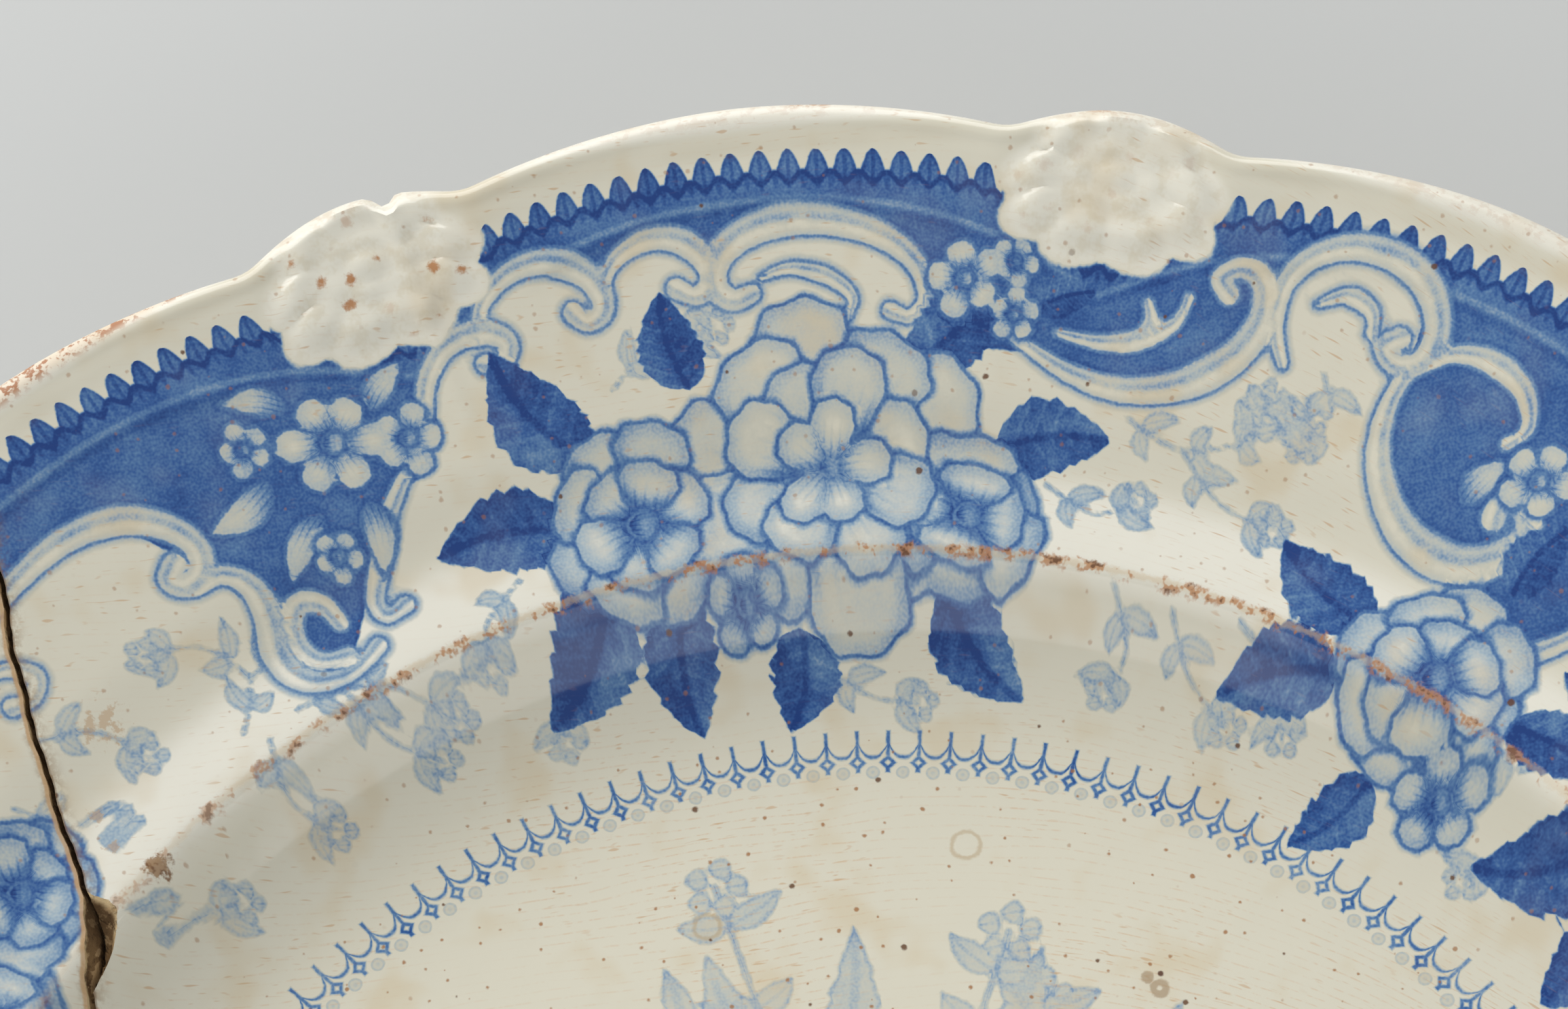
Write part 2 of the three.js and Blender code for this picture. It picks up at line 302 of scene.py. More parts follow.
def crack_x(y):
    """The crack's line, with its small wanderings."""
    line = np.array(CRACK)[::-1]
    x = np.interp(y, line[:, 1], line[:, 0])
    return x + 0.1 * np.sin(y * 0.8) + 0.05 * np.sin(y * 2.3 + 1) + 0.015 * np.sin(y * 6.1 + 2)


def roughness_of_break(y, z):
    """How far the broken faces wander sideways."""
    coarse = np.sin(y * 0.9 + z * 1.3) + np.sin(y * 2.1 - z * 0.8 + 2)
    fine = np.sin(y * 5.3 + z * 3.1) + np.sin(y * 7.9 - z * 6.3 + 1)
    return 0.02 * coarse + 0.012 * fine


def flare(y, side):
    """Width of glaze lost along the crack's arris."""
    lost = np.sin(y * 0.37 + side) * np.sin(y * 1.1 + 2 * side) + 0.3 * np.sin(y * 2.9 + side)
    return 0.02 + 0.1 * np.clip(lost - 0.1, 0, 1)


def crack_cutter(side):
    """Everything on one side of the crack: side -1 for what lies beyond it, 1 for the rest."""
    y_at = np.concatenate([np.arange(140, 108, -4), np.arange(108, 44, -0.4), np.arange(44, -141, -1.1)])
    below = [9.0, 1.2, 0.14, -0.1, -0.4, -0.9, -1.4, -2.0, -2.6, -3.3, -4.2, -5.4]
    bm = bmesh.new()
    bmesh.ops.create_grid(bm, x_segments=len(y_at) - 1, y_segments=len(below), size=1)
    for v in bm.verts:
        column = int(round((v.co.x + 1) / 2 * (len(y_at) - 1)))
        row = int(round((v.co.y + 1) / 2 * len(below)))
        y = y_at[column]
        x = float(crack_x(y))
        r, az = math.hypot(x, y), math.degrees(math.atan2(y, x)) % 360
        top = float(top_height(min(float(unlobed_radius(np.array(r), np.array(az))), 125.5)))
        z = -8.0 if row == len(below) else top + below[row]
        lost = float(flare(y, side)) * (1 if row < 3 else 0.3 if row == 3 else 0)
        wander = float(roughness_of_break(y, z)) if 3 < row < len(below) else 0
        deep = -below[row] if row < len(below) else 8.0
        wander += CRACK_BOW * float(smooth(deep, 0.7, 3.2))
        v.co = Vector((x - side * (GAP / 2 + lost) + wander, y, z)) * MM
    made = bmesh.ops.extrude_face_region(bm, geom=list(bm.faces), use_keep_orig=True)
    for v in (g for g in made["geom"] if isinstance(g, bmesh.types.BMVert)):
        v.co.x = side * FAR_X
    bmesh.ops.recalc_face_normals(bm, faces=bm.faces)
    return cutter_object(bm)


def chip_cutter():
    """The lost splinter at the shoulder: a rough hollow, a little wider than the CAD part's."""
    x, y, z = CRACK_AT_SHOULDER
    bm = bmesh.new()
    for across, along, up in (
        (-1.2, 4.7, 1.6), (0.5, 4.9, 1.6), (4.1, 3.2, 1.6), (3.6, 0.3, 1.6), (2.4, -1.8, 1.6),
        (1.3, -3.8, 1.4), (-0.2, -6.8, 0.6), (-1.5, -6.8, 0.6), (-1.2, 3.2, -2.6), (1.9, 1.9, -1.6),
        (1.4, -1.2, -3.1), (-1.4, -5.0, -4.4),
    ):
        bm.verts.new((x + across, y + along, z + up))
    bmesh.ops.convex_hull(bm, input=list(bm.verts))
    for _ in range(4):
        bmesh.ops.subdivide_edges(bm, edges=list(bm.edges), cuts=1, use_grid_fill=True)
    bmesh.ops.triangulate(bm, faces=list(bm.faces))
    for _ in range(2):
        bmesh.ops.smooth_vert(
            bm, verts=list(bm.verts), factor=0.5, use_axis_x=True, use_axis_y=True, use_axis_z=True
        )
    for v in bm.verts:
        px, py, pz = v.co
        rough = math.sin(px * 2.3 + pz * 1.7) * math.sin(py * 1.9 + 1)
        rough += 0.6 * math.sin(py * 4.7 + px * 3.9)
        rough += 0.45 * math.sin(px * 8.3 + py * 6.1 + pz * 7.3) + 0.3 * math.sin(py * 13.1 - px * 9.7)
        v.co += Vector((0.09 * rough, 0.05 * rough, 0.2 * rough if pz < z else 0))
        v.co *= MM
    bmesh.ops.recalc_face_normals(bm, faces=bm.faces)
    return cutter_object(bm)


def cutter_object(bm):
    """A solid to cut with; the faces it leaves have the bare body's look."""
    mesh = mesh_of(bm, "cutter", None, body)
    mesh.polygons.foreach_set("material_index", [1] * len(mesh.polygons))
    return shown("cutter", mesh)


def cut_away(piece, cutter):
    """Takes the cutter's solid out of the piece for good."""
    modifier = piece.modifiers.new("cut", "BOOLEAN")
    modifier.object = cutter
    modifier.operation = "DIFFERENCE"
    modifier.solver = "MANIFOLD"
    depsgraph = bpy.context.evaluated_depsgraph_get()
    cut = bpy.data.meshes.new_from_object(piece.evaluated_get(depsgraph))
    old = piece.data
    cut.name = old.name
    piece.modifiers.clear()
    piece.data = cut
    bpy.data.meshes.remove(old)
    bpy.data.objects.remove(cutter)


glaze = bpy.data.materials.new("printed_glaze")
body = bpy.data.materials.new("bare_body")
for material in (glaze, body):
    material.use_nodes = True

# columns are closest where the camera sees them
MAIN_COLUMNS = column_azimuths((36, 131, 0.34), (131, 241, 2.0), (241, 396, 1.25))
SIDE_COLUMNS = column_azimuths((118, 143, 0.3), (143, 245, 0.75), (245, 478, 3.5))
main_piece = spun_plate("main_plate_piece", MAIN_COLUMNS)
side_piece = spun_plate("side_plate_piece", SIDE_COLUMNS)
cut_away(main_piece, crack_cutter(-1))
cut_away(main_piece, chip_cutter())
cut_away(side_piece, crack_cutter(1))
for piece in (main_piece, side_piece):
    piece.data.shade_smooth()
    piece.data.set_sharp_from_angle(angle=SHARP_ANGLE)

# ---- the print: distances in millimetres to its shapes, kept at the vertices ----
# One ink prints everything. A shape's field is negative inside it, so that the look can draw its edge
# crisply between vertices; along and across tell the look where in a leaf, petal or scroll it is.
LAYERS = ("pale", "scroll", "leaf", "low_a", "low_b", "high_a", "high_b", "top")
REFERENCE = {"R": (37.5, 70.5), "C": (70.5, 104.9), "L": (104.9, 139.0)}
LOBE_KINDS = ("C", "R", "C", "L", "C", "R", "C", "L", "C", "R")

GROUND_EDGE = {
    "L": [(139, 103.2), (136.8, 104.6), (134.4, 108.2), (131, 110.8), (127, 111.6), (122.8, 111),
        (120.6, 108.8), (119.2, 104), (118.3, 100), (117.6, 96), (117.6, 92), (116.6, 89.4),
        (114.8, 88.7), (113.4, 90.9), (111.6, 94.3), (110.2, 97.2), (108.3, 99.8), (106.4, 101.2),
        (104.9, 103.2)],
    "C": [(104.9, 103.2), (104.3, 107.2), (103, 110), (101.6, 110.9), (100.7, 112.6), (99, 114.8),
        (97, 115), (95.5, 113.6), (94.6, 112), (93.6, 114.3), (92.2, 115.1), (90.7, 114.6),
        (89.4, 111.5), (88.3, 114.3), (86.5, 115.3), (84, 115.4), (82, 113.9), (80, 111.5),
        (78.8, 107.5), (77.4, 105), (75.6, 103.8), (73.4, 103.9), (70.5, 103.2)],
    "R": [(70.5, 103.2), (68.4, 102.2), (65.6, 103.6), (63.4, 106.8), (62.5, 110.5), (61.6, 114.5),
        (60.6, 117), (59, 118.6), (57, 118.9), (55.5, 117.5), (54.9, 113.5), (54.9, 109), (54.6, 104),
        (53.2, 99.5), (50.8, 96.9), (48, 96.6), (46.4, 95.3), (45.6, 92.8), (44.2, 91.6), (42, 93),
        (39.8, 98), (37.5, 103.2)],
}

# Scrolls as (half-width at the start, in the middle, at the end, points of azimuth and radius).
SCROLLS = {
    "L": [
        (0.5, 1.5, 1.0, [(136.5, 102.6), (134.6, 107.2), (131.2, 110.2), (127, 111.8), (123.6, 112.2),
            (120.9, 110.8), (119.2, 108), (118.5, 105), (119, 102.8), (120.2, 102.4), (120.7, 103.8),
            (120, 104.6)]),
        (0.7, 1.7, 0.8, [(119.8, 101.6), (118.2, 101.4), (117.3, 99), (117.5, 95.8), (118.2, 92.8),
            (118, 90), (116.8, 88.2), (114.9, 87.6), (113, 88.6)]),
        (0.9, 1.2, 0.9, [(114.2, 92.4), (114.5, 94.6), (115.5, 95.8), (116.5, 94.8), (116.9, 92.6),
            (116.4, 90.3), (114.9, 89.2)]),
        (0.5, 1.0, 0.8, [(131.8, 108), (129.8, 106.6), (129, 104.4), (129.9, 103.2), (130.9, 103.8)]),
        (0.5, 1.1, 0.8, [(105.4, 103.6), (107.2, 101.6), (109, 98.8), (110.4, 95.8), (111.8, 92.6),
            (111.6, 90.8), (110.4, 91)]),
    ],
    "C": [
        (0.8, 1.3, 0.8, [(105.2, 105.4), (104.3, 109), (102.6, 111.4), (100.9, 111.3), (99.9, 109.7),
            (100.4, 108.1), (101.3, 108.5)]),
        (0.6, 1.5, 0.9, [(101.3, 110.8), (100.5, 113.8), (98.9, 115.7), (97.2, 115.9), (95.7, 114.5),
            (94.9, 112.2), (95, 110.2), (95.9, 109.5), (96.4, 110.7)]),
        (0.6, 1.4, 0.9, [(94.8, 112.2), (93.9, 114.6), (92.3, 115.9), (90.7, 115.4), (89.7, 113.4),
            (89.5, 111.2), (90.3, 110), (91.2, 111)]),
        (1.0, 1.7, 0.7, [(87.6, 109.6), (88.6, 109.2), (89.3, 110.6), (89.1, 113), (87.9, 115),
            (85.9, 116.1), (83.4, 115.7), (81, 114), (79.4, 111.4), (78.9, 108.4), (79.7, 106.6),
            (80.7, 107.2)]),
        (0.4, 0.9, 0.5, [(87, 111), (85.6, 111.6), (83.8, 110.6), (82.6, 108.6), (82.9, 106.8)]),
    ],
    "R": [
        (0.4, 1.7, 0.9, [(75.2, 106), (73.4, 104.2), (71.2, 102.4), (68.4, 101.6), (65.4, 103),
            (63.2, 106.4), (62.3, 110.4), (62.7, 113.6), (63.8, 114.6), (64.8, 113.2), (64.2, 112)]),
        (0.4, 1.1, 0.5, [(72.2, 106), (70, 105.6), (67.9, 106.4), (66.4, 108.4), (66, 110.8)]),
        (0.4, 0.9, 0.5, [(68.6, 105.6), (67.6, 107.8), (67.9, 109.8)]),
        (0.6, 1.6, 0.9, [(60.7, 107.2), (61.6, 110.4), (61.7, 114.4), (60.7, 117.4), (59, 119.2),
            (57, 119.3), (55.3, 117.6), (54.3, 114.6), (54.4, 111.6), (55.5, 110.4), (56.4, 111.5),
            (55.8, 112.8)]),
        (0.4, 1.0, 0.6, [(60, 113.2), (58.8, 114.8), (57.5, 114.2), (57.1, 112.4)]),
        (0.5, 1.9, 1.0, [(53.6, 113), (54.9, 109.4), (54.8, 104), (53.4, 99.6), (50.9, 96.7),
            (48.1, 96.6), (46.2, 99), (45.7, 101.8), (46.5, 103.6), (47.7, 103), (47.6, 101.6)]),
        (0.5, 1.3, 0.6, [(54.4, 110.6), (53.2, 113.2), (51.4, 114), (49.5, 112.9), (48.4, 110.2),
            (48.9, 108)]),
        (0.6, 1.2, 0.6, [(46.6, 97.4), (46.4, 94.4), (44.9, 92), (42.8, 92.2), (41, 95.4),
            (40.4, 98.4), (41.4, 99.6)]),
    ],
}

# Leaves as (azimuth, radius, turn from outward in degrees, length, half-width, bend, layer).
LEAVES = {
    "L": [
        (113.6, 106.2, 100, 7.5, 1.7, 0.6, "high_a"), (112.2, 101.6, 128, 7, 1.5, -0.5, "high_a"),
        (109.6, 100.6, 165, 6.5, 1.5, 0.4, "high_a"), (107.6, 108.6, -60, 5.5, 1.4, 0.3, "high_a"),
        (111.2, 111.8, 62, 6, 1.3, -0.5, "high_a"),
    ],
    "C": [
        (97.6, 97.2, 28, 13.5, 4.4, 1.4, "leaf"), (99.6, 91.4, 84, 13, 4.3, -1.2, "leaf"),
        (98.4, 86.4, 138, 13.5, 4.3, 1.2, "leaf"), (94.2, 83.8, 176, 11.5, 3.8, -1.0, "leaf"),
        (91.4, 101.6, 8, 9.5, 3.4, 0.8, "leaf"), (86.8, 80.2, 168, 9, 3.6, 0.8, "leaf"),
        (79.4, 102.4, -38, 11.5, 3.9, -1.2, "leaf"), (74.8, 94.8, -82, 11, 3.8, 1.0, "leaf"),
        (77.2, 83.2, -140, 12, 3.9, -1.0, "leaf"), (75.4, 106.4, 60, 5, 2.2, 0.3, "leaf"),
        (73.4, 108, -70, 6, 2.0, 0.4, "leaf"),
    ],
    "R": [
        (50.6, 88.2, 72, 11.5, 3.9, 1.0, "leaf"), (51.2, 83.4, 118, 11, 3.7, -1.0, "leaf"),
        (46.4, 78.2, 160, 9.5, 3.2, 0.8, "leaf"), (44.6, 96.6, -10, 8, 2.8, 0.8, "leaf"),
        (40.4, 86.6, -86, 10, 3.4, 1.0, "leaf"), (49.4, 101.6, -20, 5.5, 1.5, 0.4, "high_a"),
        (46.2, 109.4, -66, 6.5, 1.6, -0.4, "high_a"), (43.4, 104.8, -50, 6, 1.5, 0.4, "high_a"),
    ],
}

# Flowers as (azimuth, radius, size, petals, rings, first turn, tone of the ink).
FLOWERS = {
    "L": [
        (109.9, 107, 5.0, 6, 1, 10, 0.05), (106.3, 104.6, 3.4, 5, 1, 40, 0.08),
        (113.9, 110.2, 2.6, 5, 1, 0, 0.1), (112.4, 97.6, 2.4, 5, 1, 20, 0.1),
        (138.2, 92.6, 7.0, 8, 2, 0, 0.28),
    ],
    "C": [
        (84.2, 93.2, 14.6, 10, 3, 6, 0.2), (95.6, 90.4, 9.0, 8, 2, 20, 0.24),
        (76.1, 88.6, 7.2, 6, 2, 50, 0.26), (77, 110.2, 3.7, 5, 1, 15, 0.05),
        (74.6, 112, 2.4, 5, 1, 50, 0.08), (74.4, 107.2, 2.5, 5, 1, 0, 0.07),
        (90.2, 82.2, 3.6, 5, 1, 0, 0.24),
    ],
    "R": [
        (45.6, 86.6, 8.8, 8, 2, 0, 0.2), (41.6, 79.4, 4.2, 5, 1, 30, 0.2),
        (46.6, 106.4, 3.6, 5, 1, 0, 0.07), (43.8, 109.8, 2.6, 5, 1, 30, 0.08),
    ],
}

# Pale sprays: stems as points, with pairs of small leaves and little flowers along them.
SPRAYS = {
    "L": [
        [(122.6, 88.6), (120.4, 92.4), (121.4, 97.2), (124.2, 99.6)],
        [(120.4, 92.4), (117.8, 93.6), (115.8, 96)],
        [(119.2, 87.4), (116.2, 86.6), (113.4, 84.4), (110.6, 80.8)],
        [(116.2, 86.6), (115.4, 82.2), (112.8, 78.8)], [(121.6, 86.6), (122.8, 82.4), (121.4, 78.6)],
        [(131.6, 100.4), (128.8, 97.4), (127.6, 92.8)], [(134.8, 97.6), (133.4, 93.4), (131.4, 89.8)],
        [(135.4, 84.6), (132.8, 80.6), (129.4, 79)],
    ],
    "C": [
        [(95.4, 103), (92.8, 106.2), (89.6, 107)], [(85.4, 77), (82.2, 74.2), (78.8, 73.6)],
        [(99.8, 83), (103.2, 79.4), (104.6, 75.6)], [(103.6, 88.6), (106.4, 86), (107.2, 83)],
    ],
    "R": [
        [(67.8, 99.2), (64.4, 97.4), (61, 99.8), (58.4, 103.6)],
        [(64.4, 97.4), (61.6, 93.8), (58.2, 93)], [(71.6, 92.4), (68.6, 90.2), (66.2, 92)],
        [(61, 99.8), (60.8, 103.8)], [(58, 84), (54.6, 81.4), (53, 77.8)],
        [(62.4, 83.4), (60.2, 79.4), (56.8, 76.6)], [(58.6, 107.6), (57.6, 104.2), (58.4, 100.8)],
        [(66.4, 84.2), (64.8, 80.2), (65.8, 76.6)],
    ],
}


def curve_through(points, parts=6):
    """A smooth line through points, by Catmull and Rom's rule."""
    p = np.array([points[0], *points, points[-1]], float)
    t = np.linspace(0, 1, parts, endpoint=False)[:, None]
    rows = []
    for a, b, c, d in zip(p, p[1:], p[2:], p[3:]):
        square, cube = a - 2.5 * b + 2 * c - 0.5 * d, 1.5 * (b - c) + 0.5 * (d - a)
        rows.append(b + 0.5 * t * (c - a) + t**2 * square + t**3 * cube)
    return np.concatenate([*rows, p[-1:]])


class Print:
    """The print's fields at one piece's vertices; x and y in millimetres."""

    def __init__(self, x, y):
        self.x, self.y = x, y
        self.fields = {name: np.full(len(x), 5.0) for name in LAYERS}
        self.along, self.across, self.tone = (np.zeros(len(x)) for _ in range(3))
        self.level, self.depth = np.full(len(x), -1), np.full(len(x), 9.0)

    def paint(self, layer, centre, reach, shape, tone=0.0):
        near = np.nonzero((self.x - centre[0]) ** 2 + (self.y - centre[1]) ** 2 < reach**2)[0]
        if not len(near):
            return
        d, along, across = shape(self.x[near], self.y[near])
        field = self.fields[layer]
        field[near] = np.minimum(field[near], d)
        level = LAYERS.index(layer)
        above = level > self.level[near]
        taken = (d < 0.35) & (above | ((level == self.level[near]) & (d < self.depth[near])))
        taken = np.nonzero(taken)[0]
        meeting = (d < 0.35) & (level == self.level[near]) & (self.depth[near] < 0.35)
        apart = np.abs(d - self.depth[near])
        at = near[taken]
        self.along[at], self.across[at], self.tone[at] = along[taken], across[taken], tone
        self.level[at], self.depth[at] = level, d[taken]
        self.across[near[meeting]] *= smooth(apart[meeting], 0, 0.6)

    def stroke(self, layer, points, widths, tone=0.0):
        line = curve_through(points)
        count = len(line) - 1
        share = np.arange(count + 1) / count
        width = np.interp(share, [0, 0.45, 0.9, 1], [widths[0], widths[1], widths[2], widths[2] * 1.25])
        low, high = line.min(0), line.max(0)

        def shape(x, y):
            best = np.full(len(x), 99.0)
            along, across = np.zeros(len(x)), np.zeros(len(x))
            for k in range(count):
                (ax, ay), (bx, by) = line[k], line[k + 1]
                ex, ey = bx - ax, by - ay
                length = ex * ex + ey * ey + 1e-9
                t = np.clip(((x - ax) * ex + (y - ay) * ey) / length, 0, 1)
                dx, dy = x - ax - t * ex, y - ay - t * ey
                half = width[k] + t * (width[k + 1] - width[k])
                d = np.hypot(dx, dy) - half
                nearer = d < best
                best = np.where(nearer, d, best)
                side = (ex * dy - ey * dx) / math.sqrt(length) / half
                along = np.where(nearer, (k + t) / count, along)
                across = np.where(nearer, side, across)
            return best, along, across

        self.paint(layer, (low + high) / 2, float(np.hypot(*(high - low))) / 2 + 4, shape, tone)

    def leaf(self, layer, base, turn, length, half_width, bend=0.0, tone=0.0, teeth=7):
        c, s = math.cos(turn), math.sin(turn)

        def shape(x, y):
            p = (x - base[0]) * c + (y - base[1]) * s
            q = (y - base[1]) * c - (x - base[0]) * s
            t = np.clip(p / length, 0, 1)
            q = q - bend * 4 * t * (1 - t)
            half = half_width * np.sin(math.pi * np.maximum(t, 1e-4) ** 0.72) ** 0.8
            saw = (t * teeth + 0.3 * np.sin(t * 9 + turn * 5) - 0.5 * np.abs(q) / half_width) % 1
            notch = 0.19 * saw if half_width > 2.4 else 0.06 * saw
            d = np.maximum(np.abs(q) - half * (1 - notch), np.maximum(-p, p - length))
            return d * 0.85, t, q / half_width

        middle = (base[0] + c * length / 2, base[1] + s * length / 2)
        self.paint(layer, middle, length / 2 + 4, shape, tone)

    def petal(self, layer, centre, turn, start, end, half_width, frill=0.0, tone=0.0):
        c, s = math.cos(turn), math.sin(turn)
        semi = (end - start) / 2
        middle = start + semi

        def shape(x, y):
            p = (x - centre[0]) * c + (y - centre[1]) * s - middle
            q = (y - centre[1]) * c - (x - centre[0]) * s
            u = p / semi
            w = half_width * (1 + 0.3 * np.clip(u, -1, 1))
            wave = 1 + frill * np.cos(np.arctan2(q / w, u) * 9 + turn * 5)
            k1 = np.hypot(u, q / w) / wave + 1e-6
            k2 = np.hypot(u / semi, q / w / w) + 1e-6
            return k1 * (k1 - 1) / k2, np.clip((u + 1) / 2, 0, 1), q / w

        at = (centre[0] + c * middle, centre[1] + s * middle)
        self.paint(layer, at, max(semi, half_width) * 1.3 + 2.5, shape, tone)

    def disc(self, layer, centre, radius, tone=0.0):
        self.petal(layer, centre, 0.0, -radius, radius, radius, 0.0, tone)

    def flower(self, centre, size, petals, rings, turn, tone):
        """Rings of petals, each lying on the one before it, and a middle."""
        if rings == 1:
            plan = [(petals, 0.2, 1.0, 0.98, ("high_b",))]
        else:
            plan = [
                (petals, 0.3, 1.0, 1.5, ("low_a", "low_b")),
                (petals - 2, 0.14, 0.7, 1.4, ("high_a", "high_b")),
            ]
        if rings == 3:
            plan.append((5, 0.02, 0.4, 1.05, ("top",)))
        for ring, (count, start, end, spread, names) in enumerate(plan):
            wide = math.pi * size * (start + end) / 2 / count * spread
            for k in range(count):
                uneven = math.sin(k * 2.4 + ring * 1.7 + size)
                place = k + ring * 0.37 + 0.12 * uneven * (rings > 1)
                around = turn + 2 * math.pi * place / count
                reach = size * end * (1 + 0.08 * uneven)
                frill = 0.035 if size > 4 else 0.0
                shade = tone - 0.05 * ring + 0.05 * math.sin(k * 3.7 + ring)
                self.petal(names[k % len(names)], centre, around, size * start, reach, wide, frill, shade)
        self.disc("top", centre, size * (0.2, 0.2, 0.15, 0.07)[rings], tone + 0.25)

    def spray(self, stem, size=1.0):
        line = curve_through(stem)
        self.stroke("pale", stem, (0.28 * size, 0.24 * size, 0.2 * size), 0.3)
        steps = np.diff(line, axis=0)
        count = max(2, int(np.hypot(*steps.T).sum() / (4.2 * size)))
        for k in range(count):
            at = int((k + 0.7) / count * (len(line) - 2))
            heading = math.atan2(*steps[at][::-1])
            for side in (-1, 1):
                grown = size * (3.4 + 0.6 * math.sin(k * 3 + side))
                turn = heading + side * (0.75 + 0.1 * k)
                self.leaf("pale", line[at], turn, grown, 0.95 * size, 0.3 * side, 0.3)
        for turn in np.arange(5) * 1.257:
            middle = line[-1] + 1.3 * size * np.array([math.cos(turn), math.sin(turn)])
            self.disc("pale", middle, 0.72 * size, 0.3)


def in_lobe(index, az):
    """Where an azimuth of a lobe's drawing lies on the plate, in lobe number index."""
    low, high = REFERENCE[LOBE_KINDS[index]]
    start, end = ROUND_HEADS[index + 2], ROUND_HEADS[index + 3]
    return start + (az - low) / (high - low) * (end - start)


def ground_edge_table():
    """Radius of the blue ground's inner edge against azimuth."""
    points = []
    for index, kind in enumerate(LOBE_KINDS):
        points += [(in_lobe(index, az), r) for az, r in GROUND_EDGE[kind]]
    points.sort()
    az = np.arange(-2, 364, 0.05)
    wrapped = [(a - 360, r) for a, r in points[-8:]] + points + [(a + 360, r) for a, r in points[:8]]
    r = np.interp(az, *np.array(sorted(wrapped)).T)
    kernel = np.exp(-np.linspace(-2.2, 2.2, 17) ** 2)
    return az, np.convolve(np.pad(r, 8, "edge"), kernel / kernel.sum(), "valid")


def design(x, y):
    """All the print's fields for vertices at x, y."""
    made = Print(x, y)
    for index, kind in enumerate(LOBE_KINDS):

        def spot(az, r):
            turned = math.radians(in_lobe(index, az))
            return np.array([r * math.cos(turned), r * math.sin(turned)])

        for stem in SPRAYS[kind]:
            made.spray([spot(*p) for p in stem])
        for first, middle, last, points in SCROLLS[kind]:
            made.stroke("scroll", [spot(*p) for p in points], (first, middle, last))
        for az, r, turn, length, half_width, bend, layer in LEAVES[kind]:
            base = spot(az, r)
            heading = math.atan2(base[1], base[0]) + math.radians(turn)
            made.leaf(layer, base, heading, length, half_width, bend, 0.08 if layer == "high_a" else 0.0)
        for az, r, size, petals, rings, turn, tone in FLOWERS[kind]:
            made.flower(spot(az, r), size, petals, rings, math.radians(az + turn), tone)
    # the pale posy on the floor of the well
    stems = (92, 74, 57, 35, 12, -14, -42, -68, -95, -122, -150, -178, 156, 134, 112)
    for k, turn in enumerate(np.radians(stems)):
        out = 57.0 - 5.5 * (k % 3)
        c, s = math.cos(turn), math.sin(turn)
        bow = 5.0 * (-1) ** k
        stem = []
        for r in (14, 28, 42, out):
            stem.append((c * r - s * bow * (r / out) ** 2, s * r + c * bow * (r / out) ** 2))
        made.spray(stem, 1.55)
        if k % 3 != 1:
            base = (c * 30, s * 30)
            for side in (-1, 1):
                made.leaf("pale", base, turn + side * (0.32 + 0.1 * (k % 2)), 22, 3.4, side * 1.2, 0.3, 5)
    for ring, (size, petals) in enumerate([(15.5, 12), (10.5, 9), (6, 6)]):
        for k in range(petals):
            turn = 2 * math.pi * (k + 0.5 * ring) / petals
            made.petal("pale", (0, 0), turn, size * 0.35, size, size * 2.1 / petals, 0.04, 0.3)
    return made


def head_reserve(rho, az):
    """Distance to the scalloped place that the print leaves bare round each flower head."""
    gap, index = from_head(az)
    a, b = (rho - HEAD_R) / 8.9, np.radians(gap) * rho / 11.4
    d = np.hypot(a, b)
    scallop = 0.87 + 0.13 * np.abs(np.cos((np.arctan2(b, a) + index * 0.7) * 4.5))
    return (d / scallop - 1) * 9.0


def border_coordinate(rho, az):
    """The radius that the printed border follows: it swings inward round the flower heads."""
    gap, _ = from_head(az)
    return rho + 8.1 * np.clip(1 - (gap / 5.6) ** 2, 0, 1) ** 1.2


def put_fields(piece):
    """Stores the print's fields and the wear's distances on a piece."""
    mesh = piece.data
    x, y, z = places_of(mesh).T
    r, az = np.hypot(x, y), np.degrees(np.arctan2(y, x)) % 360
    rho = unlobed_radius(r, az)
    made = design(x, y)
    edge_az, edge_r = GROUND
    inner = np.interp(az, edge_az, edge_r)
    rise = np.interp(az + 0.2, edge_az, edge_r) - np.interp(az - 0.2, edge_az, edge_r)
    slope = rise / np.radians(0.4) / r.clip(20)
    ground = (inner - r) / np.hypot(1, slope)
    under_by = top_height(np.minimum(rho, 125.5)) - z
    off_crack = x - crack_x(y)
    layers = made.fields
    sets = {
        "print_a": (ground, layers["pale"], layers["scroll"]),
        "print_b": (layers["leaf"], layers["low_a"], layers["low_b"]),
        "print_c": (layers["high_a"], layers["high_b"], layers["top"]),
        "print_d": (border_coordinate(rho, az), head_reserve(rho, az), r - step_radius(az)),
        "print_e": (made.along, made.across, made.tone),
        "wear": (under_by, off_crack, r),
    }
    for name, fields in sets.items():
        attribute = mesh.attributes.new(name, "FLOAT_VECTOR", "POINT")
        attribute.data.foreach_set("vector", np.stack(fields, 1).astype(np.float32).ravel())


GROUND = ground_edge_table()
for piece in (main_piece, side_piece):
    put_fields(piece)


# ---- a small language for the looks' nodes ----
class Value:
    """A number, vector or colour that comes out of a node."""

    def __init__(self, socket):
        self.socket = socket
        self.tree = socket.id_data

    def __add__(self, other): return maths("ADD", self, other)
    def __radd__(self, other): return maths("ADD", other, self)
    def __sub__(self, other): return maths("SUBTRACT", self, other)
    def __rsub__(self, other): return maths("SUBTRACT", other, self)
    def __mul__(self, other): return maths("MULTIPLY", self, other)
    def __rmul__(self, other): return maths("MULTIPLY", other, self)
    def __truediv__(self, other): return maths("DIVIDE", self, other)


def node_of(tree, kind, inputs=(), **settings):
    made = tree.nodes.new(kind)
    for name, setting in settings.items():
        setattr(made, name, setting)
    for key, value in dict(inputs).items():
        if isinstance(value, Value):
            tree.links.new(value.socket, made.inputs[key])
        else:
            made.inputs[key].default_value = value
    return made


